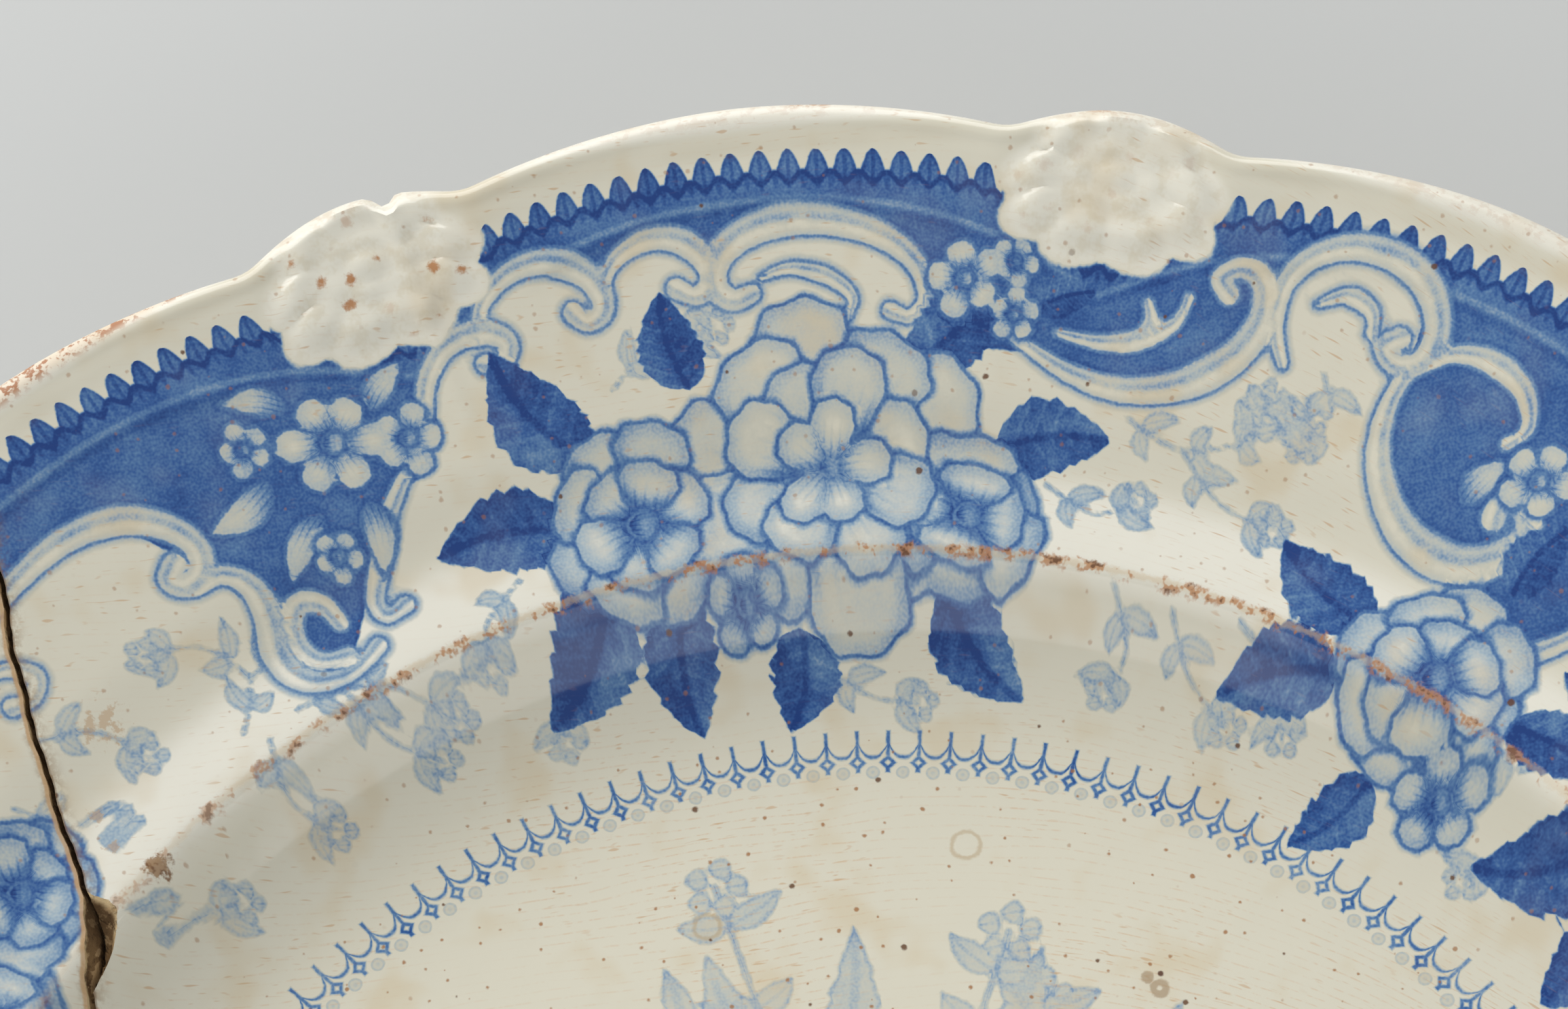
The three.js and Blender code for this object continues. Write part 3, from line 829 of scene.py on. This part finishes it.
def maths(operation, *values):
    tree = next(v.tree for v in values if isinstance(v, Value))
    made = node_of(tree, "ShaderNodeMath", enumerate(values), operation=operation)
    return Value(made.outputs[0])


def lesser(a, b): return maths("MINIMUM", a, b)
def greater(a, b): return maths("MAXIMUM", a, b)
def size_of(a): return maths("ABSOLUTE", a)


def fade(value, start, end):
    """0 at start and beyond, 1 at end and beyond, smooth between."""
    flip = start > end
    made = node_of(
        value.tree, "ShaderNodeMapRange",
        {"Value": value, "From Min": min(start, end), "From Max": max(start, end),
         "To Min": 1.0 if flip else 0.0, "To Max": 0.0 if flip else 1.0},
        interpolation_type="SMOOTHSTEP",
    )
    return Value(made.outputs[0])


def close_to(value, far, near):
    """1 where a value is within near of nought, 0 from far on, on either side."""
    return fade(size_of(value), far, near)


def blend(share, a, b):
    """a where share is 0, b where it is 1."""
    tree = share.tree
    made = node_of(tree, "ShaderNodeMix", {0: share, 2: a, 3: b}, data_type="FLOAT")
    return Value(made.outputs[0])


def tint(share, a, b):
    made = node_of(share.tree, "ShaderNodeMix", {0: share, 6: a, 7: b}, data_type="RGBA")
    return Value(made.outputs[2])


def parts(vector):
    made = node_of(vector.tree, "ShaderNodeSeparateXYZ", {0: vector})
    return [Value(out) for out in made.outputs]


def joined(x, y, z):
    tree = next(v.tree for v in (x, y, z) if isinstance(v, Value))
    return Value(node_of(tree, "ShaderNodeCombineXYZ", enumerate((x, y, z))).outputs[0])


def clouds(at, scale, detail=2.0, rough=0.5, flat="2D"):
    settings = {"Vector": at, "Scale": scale, "Detail": detail, "Roughness": rough}
    return Value(node_of(at.tree, "ShaderNodeTexNoise", settings, noise_dimensions=flat).outputs[0])


def cells(at, scale):
    """Distance to the nearest of scattered points, and three random numbers that belong to the point."""
    settings = {"Vector": at, "Scale": scale}
    made = node_of(at.tree, "ShaderNodeTexVoronoi", settings, voronoi_dimensions="2D")
    return Value(made.outputs["Distance"]), *parts(Value(made.outputs["Color"]))


def places(tree):
    """Object coordinates in millimetres, as a vector and as its parts."""
    source = node_of(tree, "ShaderNodeTexCoord").outputs["Object"]
    made = node_of(tree, "ShaderNodeVectorMath", {0: Value(source), "Scale": 1000.0}, operation="SCALE")
    at = Value(made.outputs[0])
    return at, *parts(at)


def stored(tree, name):
    made = node_of(tree, "ShaderNodeAttribute", attribute_name=name)
    return parts(Value(made.outputs["Vector"]))


def rgb(r, g, b):
    """A colour as seen, in steps of 255, as light."""
    return (*[((c / 255 + 0.055) / 1.055) ** 2.4 if c > 10 else c / 255 / 12.92 for c in (r, g, b)], 1.0)


def ramp(share, stops):
    made = node_of(share.tree, "ShaderNodeValToRGB", {0: share})
    line = made.color_ramp
    while len(line.elements) < len(stops):
        line.elements.new(0.5)
    for element, (place, colour) in zip(line.elements, stops):
        element.position = place
        element.color = colour
    return Value(made.outputs[0])


def whole_part_left(value):
    """The part after the point, moved to run from -0.5 to 0.5."""
    return maths("FRACT", value + 0.5) - 0.5


# ---- looks ----
CREAM = rgb(239, 234, 218)
RUST, UMBER, TAN = rgb(188, 122, 62), rgb(104, 66, 38), rgb(210, 182, 138)
INK = [
    (0.0, CREAM), (0.12, rgb(208, 209, 200)), (0.28, rgb(174, 190, 198)), (0.46, rgb(134, 161, 187)),
    (0.64, rgb(92, 129, 172)), (0.82, rgb(54, 94, 154)), (1.0, rgb(28, 62, 126)),
]
TEETH, TEETH_START, TEETH_FOOT_R = 281, 89.16, 120.7
MARKS, MARKS_START, MARKS_R = 150, 129.0, 67.75
# radius of the band of painted light just outside the shoulder
PAINTED_LIGHT_RING_R = 88.4
# marks of wear as (x, y, radius)
RING_STAINS = ((-8.2, 53.2, 1.2), (16.5, 57.4, 1.35))
SMUDGES = ((-60.3, 76.6, 2.4), (-61.6, 68.4, 1.0), (-60.4, 65.3, 0.9))
FLAKE_AT = (-56.6, 63.1)
POCK_PITCH = 0.36


def border_ink(ink, border, azimuth, wobble, mottle):
    """The dogtooth border: teeth with a dark wavy line under them, on a band of the ground's blue."""
    phase = whole_part_left((azimuth - TEETH_START) * (TEETH / 360) + wobble * 0.12)
    aside = size_of(phase) * 2.74
    height = (border + wobble * 0.9 - TEETH_FOOT_R) / 2.1
    tooth = aside - maths("POWER", greater(1 - height, 0.0), 0.5) * 1.18
    tooth_ink = 0.74 + fade(tooth, -0.5, -0.1) * 0.14 + fade(aside, 0.3, 0.06) * 0.14 + mottle * 0.5
    wave = border - 120.15 + maths("COSINE", phase * (2 * math.pi)) * 0.5 + wobble * 0.8
    made = blend(close_to(wave, 0.6, 0.15), tooth_ink, 1.0 + mottle * 0.3)
    printed = greater(fade(tooth, 0.18, -0.12) * fade(height, 1.04, 0.96), fade(border, 121.1, 120.7))
    return blend(printed * fade(border, 118.7, 119.4), ink, made)


def ring_ink(ink, r, azimuth, wobble, mottle):
    """The ring of marks round the floor: spikes over arches, hollow diamonds, and pale discs below."""
    phase = whole_part_left((azimuth - MARKS_START) * (MARKS / 360) + wobble * 0.1)
    aside = size_of(phase) * (2 * math.pi / MARKS) * r + wobble * 0.25
    out = r - MARKS_R + wobble * 0.4
    half_pitch = 1.415
    spike = greater(aside - 0.17, greater(0.6 - out, out - 3.2))
    lift = maths("POWER", greater(1 - aside / half_pitch, 0.0), 2.6)
    arch = size_of(out - 0.55 - lift * 1.6) * 0.75 - 0.13
    diamond = size_of(aside + size_of(out) - 0.55) * 0.7 - 0.17
    point = greater(aside - 0.2, size_of(out + 0.75) - 0.25)
    lines = lesser(lesser(spike, arch), lesser(diamond, point))
    drop = maths("SQRT", (half_pitch - aside) * (half_pitch - aside) + (out + 1.0) * (out + 1.0))
    discs = fade(drop, 0.74, 0.6) * (0.12 + close_to(drop - 0.6, 0.2, 0.06) * 0.14)
    discs = discs + fade(drop, 0.3, 0.1) * 0.12
    near = close_to(out - 1.0, 3.2, 2.8)
    ink = greater(ink, discs * near)
    return blend(fade(lines, 0.16, -0.12) * near * (0.9 + mottle * 0.5), ink, 0.74 + mottle * 0.5)


def petal_ink(ink, field, along, across, tone, wobble, mottle):
    """One layer of petals: a shade round them, a line, and cushioned faces that darken to the root."""
    d = field + wobble * 0.8
    ink = blend(fade(d, 0.75, 0.15) * 0.5, ink, 0.92)
    ink = blend(fade(d, 0.34, 0.06), ink, 0.72 + mottle * 0.5)
    lines = close_to(whole_part_left(across * 2.6 + mottle), 0.25, 0.05) * fade(along, 0.8, 0.25)
    edge = fade(d, -1.9, -0.15)
    face = tone * 0.8 + edge * 0.22 + fade(along, 0.62, 0.05) * 0.36 + across * 0.07 + mottle * 0.3
    face = face + lines * 0.12
    return blend(fade(d, 0.0, -0.26), ink, greater(face, 0.0))


def print_ink(tree, at, r, azimuth, under_by):
    """How much blue ink lies at a point, from 0 to 1."""
    ground, pale, scroll = stored(tree, "print_a")
    leaf, low_a, low_b = stored(tree, "print_b")
    high_a, high_b, top = stored(tree, "print_c")
    border, reserve, step = stored(tree, "print_d")
    along, across, tone = stored(tree, "print_e")
    wobble = (clouds(at, 0.85, 2.0, 0.6) - 0.5) * 0.42
    mottle = clouds(at, 0.16, 5.0, 0.72) - 0.5
    # pale plants
    d = pale + wobble * 0.9
    rib = close_to(across, 0.2, 0.05) * 0.1
    ink = fade(d, 0.2, -0.16) * (0.2 + mottle * 0.4 + close_to(d + 0.1, 0.4, 0.05) * 0.15 + rib)
    # the blue ground between the scrolls and the border
    d = ground + wobble
    line = close_to(step + 0.5, 0.45, 0.1) * 0.07 - close_to(step - 0.35, 0.5, 0.1) * 0.16
    field = blend(close_to(d, 0.7, 0.15), 0.76 + mottle * 0.55 + line, 0.9)
    ink = blend(fade(d, 0.18, -0.16) * fade(border, 120.6, 120.3), ink, field)
    ink = border_ink(ink, border, azimuth, wobble, mottle)
    # scrolls, engraved with lines along one side
    d = scroll + wobble * 0.5
    ink = blend(fade(d, 0.9, 0.1) * 0.4, ink, 0.92)
    ink = blend(fade(d, 0.34, 0.0), ink, 0.62 + mottle * 0.4)
    shade = fade(across + mottle * 0.8, -0.35, 0.5) * 0.4 - close_to(across - 0.6, 0.35, 0.0) * 0.2
    face = 0.04 + shade + close_to(across - 0.1, 0.25, 0.0) * 0.1 + mottle * 0.4
    face = face + fade(across, -0.3, -1.0) * 0.22
    ink = blend(fade(d, 0.0, -0.26), ink, greater(face, 0.0))
    # dark leaves, one half of each a little lighter
    d = leaf + wobble * 0.8
    veins = close_to(whole_part_left(along * 6.5 - size_of(across) * 1.4 + mottle), 0.2, 0.04)
    rib = close_to(across, 0.14, 0.03)
    face = 0.9 + mottle * 0.7 + wobble * 0.5 - fade(across, -0.1, 0.3) * 0.12 + (rib - veins * 0.5) * 0.13
    ink = blend(fade(d, 0.16, -0.14), ink, face)
    for layer in (low_a, low_b, high_a, high_b, top):
        ink = petal_ink(ink, layer, along, across, tone, wobble, mottle)
    ink = ring_ink(ink, r, azimuth, wobble, mottle)
    ink = ink * fade(reserve + wobble, -0.1, 0.5) * fade(under_by, 2.2, 1.7)
    grain = (clouds(at, 3.6, 0.0) - 0.5) * 0.2
    return greater(ink + grain * fade(ink, 0.02, 0.4), 0.0)


def spot_of(x, y, cx, cy):
    """Distance from a place on the plate."""
    dx, dy = x - cx, y - cy
    return maths("SQRT", dx * dx + dy * dy)


def glaze_look(material):
    tree = material.node_tree
    shader = tree.nodes["Principled BSDF"]
    at, x, y, z = places(tree)
    under_by, off_crack, edge_r = stored(tree, "wear")
    _, reserve, _ = stored(tree, "print_d")
    r = maths("SQRT", x * x + y * y)
    azimuth = maths("ARCTAN2", y, x) * (180 / math.pi)
    on_top = fade(under_by, 2.2, 1.7)
    ink = print_ink(tree, at, r, azimuth, under_by)
    colour = ramp(ink, INK)
    plain = fade(ink, 0.6, 0.1) * 0.86 + 0.14
    # painted light: away from the ink the cream is dulled towards a darker yellow, except in a band just
    # outside the shoulder, on the bead and on the flower heads, which stay paler as painted light
    painted_light = greater(close_to(r - PAINTED_LIGHT_RING_R, 6.0, 2.5), fade(edge_r, 124.4, 125.4))
    painted_light = greater(painted_light, fade(reserve, 0.5, -0.8) * 0.7)
    colour = tint((1 - painted_light) * fade(ink, 0.62, 0.1) * 0.52, colour, rgb(208, 200, 174))
    patches = clouds(at, 0.05, 2.0, 0.6)
    broken = clouds(at, 0.9, 3.0, 0.7)
    rag = broken - 0.5
    # tan lines and dashes in the crazed glaze; they run across the plate and bend down at the right
    bend = greater(x - 6, 0.0)
    drift = y + bend * bend * 0.0085
    floor_share = fade(r, 80.0, 66.0) * 0.75 + 0.25
    sway = clouds(joined(x * 0.035, drift * 0.1, 0.0), 1.0, 2.0, 0.6)
    lines = close_to(whole_part_left(drift * 1.05 + sway * 2.6), 0.14, 0.02) * fade(patches, 0.2, 0.6)
    lines = lines * fade(broken, 0.38, 0.66) * plain * floor_share
    colour = tint(lines * 0.42, colour, rgb(212, 168, 122))
    dashes = fade(clouds(joined(x * 0.6, drift * 2.8, 7.0), 1.0, 0.0), 0.76, 0.9)
    dashes = dashes * fade(patches, 0.42, 0.56)
    colour = tint(dashes * plain * 0.5, colour, rgb(198, 148, 92))
    # soft yellowed clouds, ring stains left by drops, and an old spill
    colour = tint(fade(clouds(at, 0.11, 2.0, 0.6), 0.52, 0.76) * plain * 0.32, colour, rgb(210, 184, 138))
    for cx, cy, radius in RING_STAINS:
        stain = close_to(spot_of(x, y, cx, cy) + rag * 0.5 - radius, 0.34, 0.05)
        colour = tint(stain * 0.42 * on_top, colour, rgb(180, 148, 98))
    spill = lesser(spot_of(x, y, 30.7, 41.7) - 0.6, size_of(spot_of(x, y, 31.6, 40.5) - 0.55) - 0.34)
    colour = tint(fade(spill + rag * 0.5, 0.15, -0.12) * 0.7 * on_top, colour, rgb(168, 142, 110))
    fleck = spot_of(x, y, 31.9, 41.9) - 0.22
    colour = tint(fade(fleck + rag * 0.3, 0.15, -0.05) * 0.9 * on_top, colour, rgb(84, 40, 24))
    # specks
    for scale, share, size, strength, seen in (
        (0.12, 0.24, 0.26, 0.9, UMBER), (0.55, 0.24, 0.14, floor_share * 0.5 + 0.35, rgb(166, 112, 64)),
    ):
        away, pick, grown, _ = cells(at, scale)
        speck = fade(away / scale - (grown * 0.9 + 0.3) * size + rag * 0.4, 0.12, -0.08)
        colour = tint(speck * fade(pick, share, share - 0.06) * strength, colour, seen)
    # rust on the shoulder's ridge
    ridge = close_to(r - SHOULDER_R + rag * 0.9, 0.5, 0.1)
    far = close_to(azimuth - 80, 80.0, 22.0) * 0.8 + 0.2
    rusty = clouds(at, 0.42, 3.0, 0.75)
    colour = tint(ridge * 0.42 * far, colour, TAN)
    blots = fade(rusty, 0.51, 0.6) * close_to(r - 85.0 + rag * 1.3, 0.85, 0.25) * far * on_top
    colour = tint(blots * 0.75, colour, RUST)
    colour = tint(fade(rusty, 0.62, 0.7) * blots * 0.85, colour, UMBER)
    # wear along the bead, a faint patchy greyish-tan band just inside it, and brown in the flower heads'
    # hollows
    worn = close_to(azimuth - 117.5, 9.0, 4.5) * 0.85 + 0.15
    bead = fade(edge_r, 124.8, 126.0) * worn
    colour = tint(bead * 0.4, colour, rgb(216, 184, 146))
    colour = tint(bead * fade(rusty + broken, 0.98, 1.14) * 0.95, colour, rgb(172, 112, 68))
    stain = fade(edge_r, 126.2, 127.2) * fade(clouds(at, 0.13, 2.0), 0.56, 0.7) * on_top
    colour = tint(stain * fade(broken, 0.35, 0.6) * 0.8, colour, rgb(184, 124, 62))
    # a faint patchy greyish-tan band just inside the bead
    groove = close_to(edge_r - 123.4, 1.6, 0.2) * fade(patches, 0.3, 0.6)
    colour = tint(groove * 0.14, colour, rgb(172, 152, 112))
    colour = tint(fade(reserve, 0.4, -1.0) * fade(rusty, 0.45, 0.68) * 0.2, colour, rgb(196, 174, 126))
    away, pick, grown, _ = cells(at, POCK_PITCH)
    hollow = fade(away / POCK_PITCH - grown * 0.55 - 0.05 + rag * 1.5, 0.4, -0.2) * fade(pick, 0.42, 0.3)
    spotted = close_to(azimuth - 105, 14.0, 8.0) * 0.8 + 0.2
    colour = tint(hollow * fade(reserve, -0.6, -1.6) * spotted * 0.9, colour, rgb(184, 124, 72))
    # brown that crept in from the crack, and a chip in the glaze beside it
    crept = fade(off_crack + rag * 1.4, 2.0, 0.2) * fade(off_crack, -1.2, -0.3)
    colour = tint(crept * fade(broken, 0.36, 0.66) * 0.6, colour, rgb(150, 116, 72))
    left_lip = fade(off_crack, -0.75, -0.5) * fade(off_crack, 0.0, -0.1)
    right_lip = fade(off_crack, 0.5, 0.3) * fade(off_crack, 0.0, 0.1)
    colour = tint(left_lip * 0.8, colour, rgb(200, 160, 112))
    colour = tint(right_lip * 0.65, colour, rgb(122, 90, 58))
    for cx, cy, radius in SMUDGES:
        smudge = fade(spot_of(x, y, cx, cy) / radius + rag * 3.2, 0.75, 0.2) * on_top
        colour = tint(smudge * 0.5, colour, rgb(190, 146, 96))
    flake = fade(spot_of(x, y, *FLAKE_AT) + rag * 2.6 - 1.0, 0.3, -0.3) * on_top
    colour = tint(flake * 0.85, colour, rgb(158, 118, 74))
    colour = tint(flake * fade(rusty, 0.5, 0.6) * 0.7, colour, UMBER)
    # the foot ring's bare tread
    tread = fade(z, 0.5, 0.15)
    colour = tint(tread, colour, rgb(196, 170, 130))
    tree.links.new(colour.socket, shader.inputs["Base Color"])
    shine = 0.15 + ridge * 0.3 + (tread + flake) * 0.6 + bead * 0.25 + rag * 0.08
    shine = shine + fade(edge_r, 124.5, 125.5) * 0.14
    tree.links.new((shine + fade(r, 77.0, 69.0) * 0.1).socket, shader.inputs["Roughness"])
    tree.links.new((0.5 - fade(r, 77.0, 69.0) * 0.32).socket, shader.inputs["Specular IOR Level"])
    skin = clouds(at, 0.2, 1.0)
    bump = node_of(tree, "ShaderNodeBump", {"Strength": 0.3, "Distance": 0.0002, "Height": skin})
    tree.links.new(bump.outputs[0], shader.inputs["Normal"])
    shader.inputs["IOR"].default_value = 1.52


def body_look(material):
    """The broken faces: tan at the glaze's edge, browner and dirtier inside."""
    tree = material.node_tree
    shader = tree.nodes["Principled BSDF"]
    at, _, y, _ = places(tree)
    under_by, *_ = stored(tree, "wear")
    lumps = clouds(at, 0.55, 4.0, 0.7, "3D")
    colour = tint(fade(under_by + (lumps - 0.5) * 0.8, 0.25, 1.1), rgb(216, 190, 146), rgb(132, 104, 70))
    colour = tint(fade(lumps, 0.5, 0.64) * 0.8, colour, rgb(78, 56, 36))
    colour = tint(fade(clouds(at, 0.8, 3.0, 0.6, "3D"), 0.5, 0.58) * 0.75, colour, rgb(196, 164, 120))
    # darker where y passes 55 to 59 mm, that is the chip's upper part and the crack beyond it, from about
    # a millimetre below the glaze
    dark_up_and_deep = fade(y + (lumps - 0.5) * 6, 55.0, 59.0) * fade(under_by, 0.4, 1.2)
    colour = tint(dark_up_and_deep * 0.55, colour, rgb(66, 46, 30))
    tree.links.new(colour.socket, shader.inputs["Base Color"])
    shader.inputs["Roughness"].default_value = 0.88
    shader.inputs["Specular IOR Level"].default_value = 0.2
    bump = node_of(tree, "ShaderNodeBump", {"Strength": 0.8, "Distance": 0.0004, "Height": lumps})
    tree.links.new(bump.outputs[0], shader.inputs["Normal"])


glaze_look(glaze)
body_look(body)


for piece, cad_node in ((main_piece, "main_piece"), (side_piece, "side_piece")):
    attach(piece, "root")
    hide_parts(cad_node)

# ---- floor, lights and camera ----
floor_look = bpy.data.materials.new("studio_floor")
floor_look.use_nodes = True
floor_sockets = floor_look.node_tree.nodes["Principled BSDF"].inputs
floor_sockets["Base Color"].default_value = (0.62, 0.62, 0.6, 1)
floor_sockets["Roughness"].default_value = 0.8
floor_sockets["Specular IOR Level"].default_value = 0.1
bm = bmesh.new()
bmesh.ops.create_grid(bm, x_segments=1, y_segments=1, size=3)
studio_floor = shown("studio_floor", mesh_of(bm, "studio_floor", floor_look))


def softbox(name, at, aim, size, power):
    lamp = bpy.data.lights.new(name, "AREA")
    lamp.shape = "RECTANGLE"
    lamp.size, lamp.size_y = size
    lamp.energy = power
    holder = shown(name, lamp)
    holder.location = at
    holder.rotation_euler = (Vector(aim) - Vector(at)).to_track_quat("-Z", "Y").to_euler()


softbox("key_softbox", (-0.44, 0.98, 0.68), (0, 0.05, 0), (2.1, 1.05), 21.5)
softbox("front_fill", (-0.1, -1.35, 0.52), (0, 0.05, 0), (3, 1.1), 13)
world = scene.world or bpy.data.worlds.new("studio")
scene.world = world
world.use_nodes = True
sky = world.node_tree.nodes["Background"].inputs
sky["Color"].default_value = (0.9, 0.95, 1, 1)
sky["Strength"].default_value = 0.36

# as fitted to the photograph
CAMERA_AT, FOCAL_LENGTH, SENSOR_WIDTH = (0.00463, -0.10402, 0.36256), 96.63, 36
TILT, ROLL = math.radians(60.605), math.radians(-8.688)
forward = Vector((0, math.cos(TILT), -math.sin(TILT)))
level = Vector((1, 0, 0))
upward = Vector((0, math.sin(TILT), math.cos(TILT)))
right = level * math.cos(ROLL) + upward * math.sin(ROLL)
up = upward * math.cos(ROLL) - level * math.sin(ROLL)
camera_data = bpy.data.cameras.new("camera")
camera_data.sensor_width = SENSOR_WIDTH
camera_data.lens = FOCAL_LENGTH
camera = shown("camera", camera_data)
turned = Matrix((right, up, -forward)).transposed().to_4x4()
camera.matrix_world = Matrix.Translation(CAMERA_AT) @ turned
scene.camera = camera
scene.view_settings.view_transform = "Standard"
